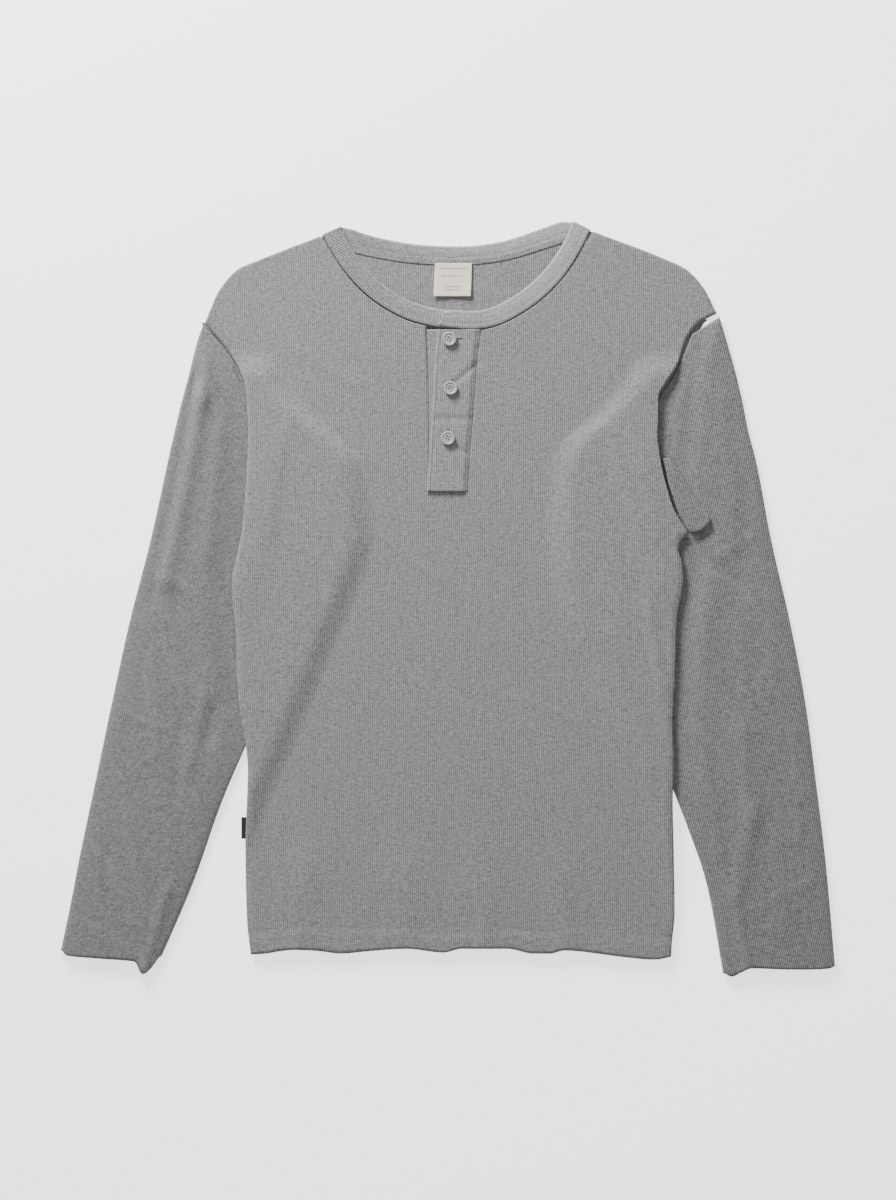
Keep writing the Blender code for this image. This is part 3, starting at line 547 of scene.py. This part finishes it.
def sleeve_ring(sleeve, cuff, folds_table, outer_side, t, share, upper):
    """A point of a sleeve's upper or lower layer: t from armhole to cuff, share from inner to outer edge."""
    rows = np.array(sleeve, float)
    length = np.concatenate([[0], np.cumsum(np.abs(np.diff(rows[:, 0])))])
    line = read(np.column_stack([length / length[-1], rows]), t)
    outer = line[:, [1, 0]]
    inner = line[:, [2, 3]]
    xy = inner + (outer - inner) * share[:, None]
    down = (rows[-1][[1, 0]] + rows[-1][[2, 3]] - rows[-3][[1, 0]] - rows[-3][[2, 3]])
    down = down / np.linalg.norm(down)
    past = read(cuff, 1 - share)[:, 0] * ease(1 - (1 - t) * length[-1] / CUFF_REACH)
    xy = xy + past[:, None] * down
    body_edge = read(EDGE_RIGHT_ARM if outer_side < 0 else EDGE_LEFT_ARM, xy[:, 1])[:, 0]
    clear = ease((outer_side * (xy[:, 0] - body_edge) - 6) / 24)
    crown = np.sqrt(np.clip(4 * share * (1 - share), 0, 1))
    relief = SLEEVE_LOFT * crown + folds(folds_table, xy[:, 0], xy[:, 1]) * ease((1 - share) * 8)
    z = np.where(upper, SLEEVE_TOP + relief * clear, BACK_LEVEL)
    return xy, z


def sleeve_sheet(sleeve, cuff, folds_table, outer_side):
    """A sleeve as a flattened tube: the upper layer out, round the fold, the lower layer back in."""
    turn = 3.0
    half_turn = 0.1

    def shape(u, v):
        """Points of the tube: u goes once round it, v from armhole to cuff."""
        side = (u * 2) % 2
        upper = side < 1
        across = side % 1
        flat = np.clip((across - half_turn) / (1 - 2 * half_turn), 0, 1)
        fold = (np.clip(across / half_turn, 0, 1) - np.clip((1 - across) / half_turn, 0, 1))
        share = np.where(upper, flat, 1 - flat)
        at_start, _ = sleeve_ring(sleeve, cuff, folds_table, outer_side, v, share * 0, upper)
        at_end, _ = sleeve_ring(sleeve, cuff, folds_table, outer_side, v, share * 0 + 1, upper)
        width = np.linalg.norm(at_end - at_start, axis=1)
        inset = turn / width
        share = inset * 0.55 + share * (1 - 1.1 * inset)
        xy, z = sleeve_ring(sleeve, cuff, folds_table, outer_side, v, share, upper)
        axis = (at_end - at_start) / width[:, None]
        low = np.full_like(z, BACK_LEVEL)
        centre = (SLEEVE_TOP + BACK_LEVEL) / 2
        outward = np.where(upper, np.sign(fold), -np.sign(fold))
        angle = (1 - np.abs(fold)) * math.pi / 2
        in_fold = (across < half_turn) | (across > 1 - half_turn)
        radius = (np.where(upper, z, SLEEVE_TOP) - low) / 2
        swing = np.where(in_fold, np.cos(angle), 0) * outward * 1.5
        xy = xy + axis * swing[:, None]
        edge_z = np.where(upper, centre + radius * np.sin(angle), centre - (centre - low) * np.sin(angle))
        z = np.where(in_fold, edge_z, z)
        return np.column_stack([xy, z])

    return shape


# Each sleeve's wales lean this many radians from the body's
sleeve_turn = {"right": -0.215, "left": 0.185}
# The sleeves' marl is painted darker than the body's: painted shade. The left sleeve's knit also serves its
# underarm flap.
for side, table, cuff, creases, way in (("right", SLEEVE_RIGHT_ARM, CUFF_RIGHT_ARM, FOLDS_RIGHT_ARM, -1),
                                        ("left", SLEEVE_LEFT_ARM, CUFF_LEFT_ARM, FOLDS_LEFT_ARM, 1)):
    knit = knit_material(f"grey_marl_painted_shade_sleeve_{side}", "#545153", "#8d8a8c", WALE, sleeve_turn[side])
    tube = grid_mesh(f"sleeve_{side}_tube", (96, 260), sleeve_sheet(table, cuff, creases, way), closed=True)
    sleeve = add_piece(f"sleeve_{side}_tube", tube, knit, f"sleeve_{side}", SHELL)
flap = add_piece("sleeve_left_underarm", grid_mesh("sleeve_left_underarm", (60, 60), flap_sheet), knit,
                 "sleeve_left", SHELL)

# --------------------------------------------------------------------------------------------------------
# Neckband: a strip of coarser rib with its wales across it, sewn on and edge-stitched. The wales are shaped,
# so its material has none of its own.
BAND_WALL = 2.0          # folded neckband
BAND_CORNERS = (12 / 46, 32 / 46)  # shares of its length at the two neck points
BAND_LAP = 4 / 46        # share of its length at the top end that laps over the hidden end
BAND_CLEAR = 0.06        # share of its width that the band stays off its seam line


def neckband_sheet(u, v):
    """The folded band, from its hidden end under the placket round the back to its end on top."""
    front_left = along(NECK_FRONT[:6] + [(6, 249)], np.clip(1 - v / BAND_CORNERS[0], 0, 1))
    back = along(NECK_BACK, np.clip((v - BAND_CORNERS[0]) / (BAND_CORNERS[1] - BAND_CORNERS[0]), 0, 1))
    front_right = along([(-9, 251.5), (2, 249.5)] + NECK_FRONT[6:],
                        np.clip(1 - (v - BAND_CORNERS[1]) / (1 - BAND_CORNERS[1]), 0, 1))
    on_back = (v > BAND_CORNERS[0]) & (v < BAND_CORNERS[1])
    seam = np.where((v <= BAND_CORNERS[0])[:, None], front_left, front_right)
    seam = np.where(on_back[:, None], back, seam)
    rim = seam + band_normal(v)
    xy = seam + (rim - seam) * (BAND_CLEAR + (1 - BAND_CLEAR) * u[:, None])
    to_corner = np.minimum(np.abs(v - BAND_CORNERS[0]), np.abs(v - BAND_CORNERS[1]))
    low = BAND_WALL / 2
    high = BACK_LEVEL + FRONT_STEP - CLOTH / 2 + BAND_WALL / 2
    z = np.where(on_back, low, high)
    z = np.where(to_corner < 1e-6, (low + high) / 2, z)
    overlap = ease((v - 1 + BAND_LAP) / (BAND_LAP * 0.6))
    z = z + (BAND_WALL + SEAM_GAP) * overlap
    ribs = 0.16 * np.sin(v * BAND_RIBS * 2 * math.pi)
    stitches = -0.35 * np.exp(-((u - 0.3) / 0.04) ** 2) - 0.3 * np.exp(-((u - 0.78) / 0.05) ** 2)
    edges = -0.7 * (1 - ease(u / 0.12)) - 0.9 * (1 - ease((1 - u) / 0.14))
    return np.column_stack([xy, z + (ribs + stitches + edges) * (to_corner > 0.004)])


def band_normal(v):
    """From seam to rim: across the band, upright at the back, out along the fold at the neck points."""
    table = [
        (0.0, 0.5, 17), (0.05, 3, 17), (0.1, 6.5, 16), (0.15, 10, 14.5), (0.2, 13.5, 11.5), (0.235, 16, 9),
        (0.26087, 18.5, 8.5), (0.29, 15, 13), (0.34, 7, 15.5), (0.48, 0, 15), (0.61, -5, 15.5),
        (0.665, -12, 14), (0.69565, -16.5, 8.5), (0.72, -15.5, 9), (0.76, -14, 11), (0.82, -11.5, 13.5),
        (0.87, -7.5, 16), (0.92, -3, 17.2), (0.97, 1, 17), (1.0, 6, 13),
    ]
    return read(table, v)


BAND_RIBS = 265          # wales along the band
BAND_ROWS = 46 * 40      # faces along it, in step with the corners' shares
NO_WALES = 400           # a wale this wide leaves the material plain marl
# The band's marl is painted lighter than the body's: painted light of the brighter collar.
band_knit = knit_material("grey_marl_painted_light_band", "#6f6c6d", "#a5a3a4", NO_WALES, 0.0, 0.12)
band = add_piece("neckband_rib", grid_mesh("neckband_rib", (14, BAND_ROWS), neckband_sheet), band_knit,
                 "neckband", 1.6)

# --------------------------------------------------------------------------------------------------------
# Seam tapes: strips of the same knit inside the armhole seams and over the back neck seam. They stand in for
# the seam allowances.
TAPE_LOW_Y = 186
TAPE_HIGH_Y = 258
TAPE_LEVEL = 1.9         # halfway between the back's and the front's layers


def armhole_tape(edge):
    """A strip either side of the front's edge, at share 0 or 1 across, up to the shoulder's end."""
    def tape(u, v):
        """Across the seam with u, 7 mm out and 7 mm in, and up the seam with v, narrower at its top end."""
        reach = np.linspace(0, 1, 1500)
        line = front_sheet(np.full(1500, float(edge)), reach)
        on_seam = (line[:, 1] > TAPE_LOW_Y) & (line[:, 1] < TAPE_HIGH_Y)
        share = np.interp(v, (0, 1), (reach[on_seam].min(), reach[on_seam].max()))
        point = front_sheet(np.full_like(share, float(edge)), share)
        width = 7 - 3.5 * ease((v - 0.88) / 0.12)
        return np.column_stack([point[:, 0] + width * (2 * u - 1), point[:, 1], np.full_like(u, TAPE_LEVEL)])
    return tape


def neck_tape(u, v):
    """A strip just over the back's upper face, 3 mm to one side of the band's seam and 2 mm to the other."""
    at = 0.26 + 0.46 * v
    seam = neckband_sheet(np.zeros_like(u), at)
    inner = neckband_sheet(np.full_like(u, 0.2), at)
    way = inner[:, :2] - seam[:, :2]
    way /= np.maximum(np.linalg.norm(way, axis=1), 1e-6)[:, None]
    xy = seam[:, :2] + way * (5 * u - 3.0)[:, None]
    return np.column_stack([xy, np.full_like(u, 1.5)])


# The armhole tapes take the left sleeve's knit, painted darker as shade.
for side, edge in (("right", 0), ("left", 1)):
    tape_mesh = grid_mesh(f"armhole_tape_{side}", (6, 60), armhole_tape(edge))
    add_piece(f"armhole_tape_{side}", tape_mesh, knit, None, 0.8)
add_piece("neck_tape", grid_mesh("neck_tape", (6, 200), neck_tape), body_knit, None, 0.4)

# --------------------------------------------------------------------------------------------------------
# Placket: an under strip level with the front, and a thicker top strip over it, stitched along both edges
# and across its foot.
STRIP_WALL = 2.0         # folded, stitched placket strip


def strip_sheet(left_edge, right_edge, low_y, high_y, height):
    """A placket strip between two edges, at a height given over the front."""
    def shape(u, v):
        """Points of the strip: u from edge to edge, v from its foot up."""
        y = low_y + (high_y - low_y) * v
        left = left_edge(y)
        right = right_edge(y)
        x = left + (right - left) * u
        return np.column_stack([x, y, front_height(x, y) + height(u)])

    return shape


PLACKET_FOOT_Y = 99.8
PLACKET_TOP_Y = 248.5
UNDER_FOOT_Y = 103.0
over = CLOTH / 2 + SEAM_GAP + STRIP_WALL / 2
under_strip = strip_sheet(lambda y: read(PLACKET_UNDER_EDGE, y)[:, 0], lambda y: read(PLACKET, y)[:, 1] - 10,
                          UNDER_FOOT_Y, PLACKET_TOP_Y, lambda u: 0.25 - 0.9 * (1 - ease(u / 0.06)))
under = add_piece("placket_under_strip", grid_mesh("placket_under_strip", (24, 90), under_strip), body_knit,
                  "placket_under", SHELL)


def top_relief(u):
    """Over the under strip, down to the front at the sewn edge; a sunk stitch line beside the free edge."""
    rise = over + (0.35 - over) * ease((u - 0.86) / 0.13)
    stitch = -0.4 * np.exp(-((u - 0.1) / 0.022) ** 2)
    return rise + stitch - 0.8 * (1 - ease(u / 0.04)) - 0.3 * (1 - ease((1 - u) / 0.03))


top_strip = strip_sheet(lambda y: read(PLACKET, y)[:, 0], lambda y: read(PLACKET, y)[:, 1],
                        PLACKET_FOOT_Y, PLACKET_TOP_Y, top_relief)
placket_knit = knit_material("grey_marl_placket", "#656263", "#9f9d9e", WALE)
top = add_piece("placket_top_strip", grid_mesh("placket_top_strip", (80, 180), top_strip), placket_knit,
                "placket_top", 1.5)

# --------------------------------------------------------------------------------------------------------
# Stitches: grey polyester thread in short raised lengths, along the hem, the band and the placket.


def stitch_row(name, path, pitch, length, radius):
    """Short six-sided stitches, one every `pitch` mm along a path of (x, y, z) rows, all in one mesh."""
    path = np.asarray(path, float)
    run = np.concatenate([[0], np.cumsum(np.linalg.norm(np.diff(path, axis=0), axis=1))])
    at = np.arange(pitch / 2, run[-1], pitch)
    centre = np.column_stack([np.interp(at, run, path[:, k]) for k in range(3)])
    ahead = np.column_stack([np.interp(at + 0.1, run, path[:, k]) for k in range(3)]) - centre
    ahead = ahead / np.maximum(np.linalg.norm(ahead, axis=1), 1e-9)[:, None]
    side = np.column_stack([-ahead[:, 1], ahead[:, 0], np.zeros(len(at))])
    up = np.cross(ahead, side)
    share = np.array([-0.5, -0.3, 0.3, 0.5])
    girth = np.array([0.25, 1, 1, 0.25])
    turn = np.arange(6) / 6 * 2 * math.pi
    ring = (np.cos(turn)[:, None, None] * side + np.sin(turn)[:, None, None] * up) * radius
    point = centre[None, None] + share[:, None, None, None] * length * ahead
    point = point + girth[:, None, None, None] * ring
    point = point.transpose(2, 0, 1, 3).reshape(-1, 3) - np.array([*PLAN_CENTRE, 0])
    quads = [(r * 6 + k, r * 6 + (k + 1) % 6, (r + 1) * 6 + (k + 1) % 6, (r + 1) * 6 + k)
             for r in range(3) for k in range(6)]
    caps = [tuple(range(5, -1, -1)), tuple(range(18, 24))]
    faces = [tuple(24 * n + k for k in face) for n in range(len(at)) for face in quads + caps]
    mesh = bpy.data.meshes.new(name)
    mesh.from_pydata(point * MM, [], faces)
    return add_piece(name, mesh, thread, None)


thread = new_material("grey_polyester_thread", "#a3a1a2", 0.6)[0]


def on_front(x, y, lift):
    """Points on the front's upper face, lifted by `lift` mm."""
    return np.column_stack([x, y, front_height(x, y) + hem_relief(x, y) + SHELL / 2 + lift])


hem_x = np.linspace(-178, 202, 400)
for number, depth in enumerate(HEM_ROWS):
    hem_line = on_front(hem_x, read(HEM, hem_x)[:, 0] + depth, 0.0)
    stitch_row(f"hem_stitch_{number + 1}", hem_line, 2.6, 2.1, 0.22)
for number, share in enumerate((0.06, 0.3)):
    for half, span in (("right", (0.004, 0.255)), ("back", (0.28, 0.68)), ("left", (0.71, 0.985))):
        v = np.linspace(*span, 300)
        line = neckband_sheet(np.full(300, share), v)
        line[:, 2] += 0.95
        stitch_row(f"band_stitch_{half}_{number + 1}", line, 2.4, 1.8, 0.2)
for number, share in enumerate((0.05, 0.1, 0.955)):
    line = top_strip(np.full(200, share), np.linspace(0.01, 0.99, 200))
    line[:, 2] += 0.8
    stitch_row(f"placket_stitch_{number + 1}", line, 2.2, 1.5, 0.2)
for number, share in enumerate((0.012, 0.045)):
    line = top_strip(np.linspace(0.03, 0.97, 80), np.full(80, share))
    line[:, 2] += 0.8
    stitch_row(f"placket_foot_stitch_{number + 1}", line, 2.2, 1.6, 0.2)

# --------------------------------------------------------------------------------------------------------
# Buttons: moulded grey polyester with a raised rim, a dished middle and four holes. They are turned from
# one profile of radius and height.
BUTTONS = [(1.5, 239.5), (2.5, 194.5), (0, 148.5)]
BUTTON_PROFILE = [
    (0, 1.9), (2.6, 1.95), (3.3, 2.05), (3.9, 1.7), (4.5, 2.2), (5.2, 2.6), (5.9, 2.5), (6.3, 2.0),
    (6.4, 1.4), (6.0, 0.5), (4.5, 0.1), (0, 0.1),
]
HOLE_RADIUS = 0.75
HOLE_REACH = 1.6875      # from the button's middle to the middle of a hole
HOLE_DEPTH = 1.5
HOLE_TURN = 0.35         # radians from the first hole to the X axis
BUTTON_SEAT = BACK_LEVEL + FRONT_STEP + over + STRIP_WALL / 2 + SEAM_GAP
polyester, polyester_tree, polyester_shader = new_material("grey_moulded_polyester", "#a8a5a3", 0.38)
grain_place = node(polyester_tree, "ShaderNodeTexCoord")
grain = node(polyester_tree, "ShaderNodeTexNoise", [("Vector", grain_place.outputs["Object"])],
             Scale=420, Detail=3)
grain_mix = node(polyester_tree, "ShaderNodeMix", [("Factor", grain.outputs["Fac"])], data_type="RGBA")
grain_mix.inputs["A"].default_value = linear("#8e8b8a")
grain_mix.inputs["B"].default_value = linear("#b9b6b4")
polyester_tree.links.new(grain_mix.outputs["Result"], polyester_shader.inputs["Base Color"])


def button_sheet(u, v):
    """The turned button: v runs along the profile from its middle on top to its middle below; u is the turn.

    Each hole is a well: points within its radius of a hole's centre are pushed down.
    """
    profile = np.array(BUTTON_PROFILE)
    run = np.concatenate([[0], np.cumsum(np.linalg.norm(np.diff(profile, axis=0), axis=1))])
    at = v * run[-1]
    radius = np.interp(at, run, profile[:, 0])
    height = np.interp(at, run, profile[:, 1])
    x = radius * np.cos(-u * 2 * math.pi)
    y = radius * np.sin(-u * 2 * math.pi)
    near = np.full_like(x, 99.0)
    for quarter in range(4):
        turn = HOLE_TURN + quarter * math.pi / 2
        gap = np.hypot(x - HOLE_REACH * math.cos(turn), y - HOLE_REACH * math.sin(turn))
        near = np.minimum(near, gap)
    well = ease((HOLE_RADIUS + 0.12 - near) / 0.24) * (height > 1.2)
    return np.column_stack([x, y, height - HOLE_DEPTH * well])


for index, (x, y) in enumerate(BUTTONS):
    def placed(u, v, x=x, y=y):
        """The turned face moved to its place on the placket."""
        return button_sheet(u, v) + np.array([x, y, BUTTON_SEAT])

    mesh = grid_mesh(f"button_{index + 1}_disc", (88, 80), placed, closed=True)
    merged = bmesh.new()
    merged.from_mesh(mesh)
    bmesh.ops.remove_doubles(merged, verts=merged.verts, dist=0.000002)
    bmesh.ops.recalc_face_normals(merged, faces=merged.faces)
    merged.to_mesh(mesh)
    merged.free()
    add_piece(f"button_{index + 1}_disc", mesh, polyester, f"button_{index + 1}")

# Buttonholes: a worked slit, dark inside, that shows past each button.
dark_slit = new_material("buttonhole_shadow", "#2a2524", 0.95)[0]
# x and y of both ends of each slit's visible part, from the top, and its half width
BUTTONHOLES = [(6, 239.5, 13, 240.2, 0.42), (4.4, 199, 3.4, 204, 0.3), (0.4, 153.5, 0.2, 158, 0.3)]
for index, (x1, y1, x2, y2, half_width) in enumerate(BUTTONHOLES):
    t = np.linspace(0, 1, 30)
    px, py = x1 + (x2 - x1) * t, y1 + (y2 - y1) * t
    line = np.column_stack([px, py, front_height(px, py) + over + 0.78])
    slit = stitch_row(f"buttonhole_{index + 1}", line, 1.2, 1.4, half_width)
    slit.data.materials[0] = dark_slit

# --------------------------------------------------------------------------------------------------------
# Neck label: cream woven satin at the back neck seam, bare but for four plain rules.
LABEL_CORNER = (-11.8, 279)
LABEL_SIZE = (34.2, 30.5)
LABEL_LEAN = 1.2         # how far its lower edge lies to the wearer's right of its upper edge
LABEL_LEVEL = 2.2
label, label_tree, label_shader = new_material("cream_woven_satin", "#e6dfcb", 0.7)
weave_place = node(label_tree, "ShaderNodeTexCoord")
weave = node(label_tree, "ShaderNodeTexWave", [("Vector", weave_place.outputs["Object"])],
             Scale=900, Distortion=1.5)
weave_bump = node(label_tree, "ShaderNodeBump", [("Height", weave.outputs["Fac"])],
                  Strength=0.25, Distance=0.0002)
label_tree.links.new(weave_bump.outputs[0], label_shader.inputs["Normal"])
rule_ink = new_material("brown_woven_rule", "#5b5148", 0.8)[0]


def label_sheet(u, v):
    """A rectangle with a slight lean that lifts off the back towards its lower corners."""
    x = LABEL_CORNER[0] + LABEL_SIZE[0] * u - LABEL_LEAN * (1 - v)
    y = LABEL_CORNER[1] + LABEL_SIZE[1] * v
    return np.column_stack([x, y, LABEL_LEVEL + 0.8 * (1 - v) ** 2 * (1 + 0.5 * np.cos(u * 2 * math.pi))])


neck_label = add_piece("neck_label_satin", grid_mesh("neck_label_satin", (40, 36), label_sheet), label,
                       "neck_label", 0.6)
# Rules: share of the label's height, half length in millimetres
LABEL_RULES = [(0.2, 6), (0.3, 8), (0.62, 11), (0.85, 12.5)]
for number, (level, half) in enumerate(LABEL_RULES):
    share = np.linspace(0.5 - half / 34, 0.5 + half / 34, 30)
    line = label_sheet(share, np.full(30, level))
    line[:, 2] += 0.3
    rule = stitch_row(f"label_rule_{number + 1}", line, 2.0, 1.5, 0.28)
    rule.data.materials[0] = rule_ink

# --------------------------------------------------------------------------------------------------------
# Side tab: a near-black ribbon folded once and caught in the wearer's right side seam.
TAB_SEAM = (-182.6, -219.5)  # lower end of the seam it comes out of
TAB_SIZE = (7, 20)
TAB_LEVEL = 2.2
TAB_OPEN = 0.8           # gap between its two layers' middles
ribbon = new_material("near_black_woven_ribbon", "#1b1d26", 0.8)[0]


def tab_sheet(u, v):
    """A strip out of the seam and back into it, with its fold at u = 0.5 and the upper half higher."""
    out = 1 - abs(2 * u - 1)
    z = TAB_LEVEL + TAB_OPEN * ease((u - 0.45) / 0.1)
    return np.column_stack([TAB_SEAM[0] - TAB_SIZE[0] * out, TAB_SEAM[1] + TAB_SIZE[1] * v, z])


tab = add_piece("side_tab", grid_mesh("side_tab", (40, 24), tab_sheet), ribbon, "side_tag", 0.5)
